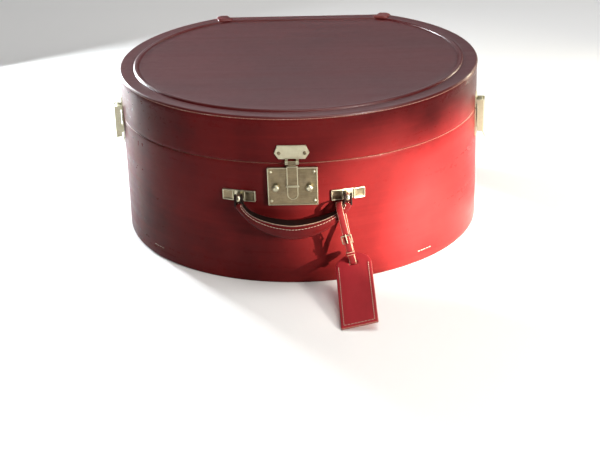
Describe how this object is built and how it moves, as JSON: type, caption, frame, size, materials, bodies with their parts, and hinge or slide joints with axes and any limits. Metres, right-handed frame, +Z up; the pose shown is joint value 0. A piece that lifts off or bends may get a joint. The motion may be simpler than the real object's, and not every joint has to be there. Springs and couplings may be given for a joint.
{
  "type": "hat box",
  "caption": "Round leather-covered hat box with a flat hinged back, hasp lock, side snap latches, swinging carry handle and strapped luggage tag.",
  "frame": {"origin": "centre of the round plan, on the plane that the base stands on", "axes": "+Z up, -Y towards the front with the lock and handle, +Y towards the flat hinged back, +X to the right seen from the front"},
  "size_m": [0.4512, 0.5231, 0.2006],
  "materials": {
    "burgundy_leather": "polished, smooth calf with faint grain",
    "dark_leather": "worn, dark with handling",
    "tag_leather": "smooth, slightly dusty, pale cut edges",
    "wood": "bare bent plywood",
    "lip_board": "covered with thin skiver leather",
    "lining": "suede cloth",
    "padding": "quilted cloth",
    "brass": "aged, lightly polished",
    "steel": "plain",
    "thread": "waxed linen thread"
  },
  "bodies": {
    "body": {"body_shell": "wood", "body_leather": "burgundy_leather", "base_board": "wood", "base_sole": "burgundy_leather", "body_lip": "lip_board", "body_lining": "lining", "base_pad": "padding", "thread_marks": "thread", "body_corner_patches": "burgundy_leather", "lock_plate": "brass", "lock_rivets": "brass", "lock_case": "steel", "handle_mount_left": "brass", "handle_mount_right": "brass", "latch_base_left": "brass", "latch_base_right": "brass", "latch_rivets": "brass", "hinge_leaves_lower": "brass", "hinge_pins": "brass", "hinge_screws_lower": "brass"},
    "lid": {"lid_shell": "wood", "lid_board": "wood", "lid_wall_leather": "burgundy_leather", "lid_top_leather": "burgundy_leather", "lid_bead": "burgundy_leather", "lid_lining": "lining", "lid_pad": "padding", "lid_corner_tab_left": "burgundy_leather", "lid_corner_tab_right": "burgundy_leather", "hasp_plate": "brass", "hasp_pin": "brass", "hasp_screws": "brass", "latch_lid_plate_left": "brass", "latch_lid_plate_right": "brass", "latch_pins": "brass", "hinge_leaves_upper": "brass", "hinge_screws_upper": "brass"},
    "hasp": {"hasp": "brass", "hasp_staple": "brass"},
    "lock_slide_left": {"lock_button_left": "brass", "lock_bolt_left": "steel", "lock_spring_left": "steel"},
    "lock_slide_right": {"lock_button_right": "brass", "lock_bolt_right": "steel", "lock_spring_right": "steel"},
    "handle": {"handle_grip": "burgundy_leather", "handle_underside": "dark_leather", "handle_core": "steel", "handle_ears": "burgundy_leather", "handle_pins": "brass"},
    "latch_left": {"latch_lever_left": "brass"},
    "latch_right": {"latch_lever_right": "brass"},
    "tag_strap": {"strap_tongue": "tag_leather", "strap_billet": "tag_leather", "strap_buckle": "brass", "strap_prong": "brass", "strap_keeper": "tag_leather", "strap_rivet": "brass"},
    "tag": {"tag_front": "tag_leather", "tag_back": "tag_leather"}
  },
  "joints": [
    {"name": "lid_hinge", "type": "hinge", "parent": "body", "child": "lid", "pos_m": [0, 0.1891, 0.1442], "axis": [-1, 0, 0], "range_deg": [0, 105]},
    {"name": "hasp_hinge", "type": "hinge", "parent": "lid", "child": "hasp", "pos_m": [0, -0.2193, 0.1462], "axis": [-1, 0, 0], "range_deg": [0, 120]},
    {"name": "lock_button_left", "type": "slide", "parent": "body", "child": "lock_slide_left", "axis": [-1, 0, 0], "range_m": [0, 0.0034], "stiffness_N_per_m": 150, "springref_m": -0.004, "deforming": ["lock_spring_left"]},
    {"name": "lock_button_right", "type": "slide", "parent": "body", "child": "lock_slide_right", "axis": [1, 0, 0], "range_m": [0, 0.0034], "stiffness_N_per_m": 150, "springref_m": -0.004, "deforming": ["lock_spring_right"]},
    {"name": "handle_swing", "type": "hinge", "parent": "body", "child": "handle", "pos_m": [0, -0.2185, 0.1045], "axis": [-1, 0, 0], "range_deg": [0, 100]},
    {"name": "latch_left_hinge", "type": "hinge", "parent": "lid", "child": "latch_left", "pos_m": [-0.21725, -0.03831, 0.1524], "axis": [-0.1736, 0.9848, 0], "range_deg": [0, 125]},
    {"name": "latch_right_hinge", "type": "hinge", "parent": "lid", "child": "latch_right", "pos_m": [0.21725, -0.03831, 0.1524], "axis": [-0.1736, -0.9848, 0], "range_deg": [0, 125]},
    {"name": "tag_strap_swing", "type": "hinge", "parent": "handle", "child": "tag_strap", "pos_m": [0.0526, -0.2221, 0.0882], "axis": [-0.9744, 0, -0.225], "range_deg": [-10, 70]},
    {"name": "tag_swing", "type": "hinge", "parent": "tag_strap", "child": "tag", "pos_m": [0.06497, -0.2401, 0.03461], "axis": [-0.9744, 0, -0.225], "range_deg": [-25, 25]}
  ]
}
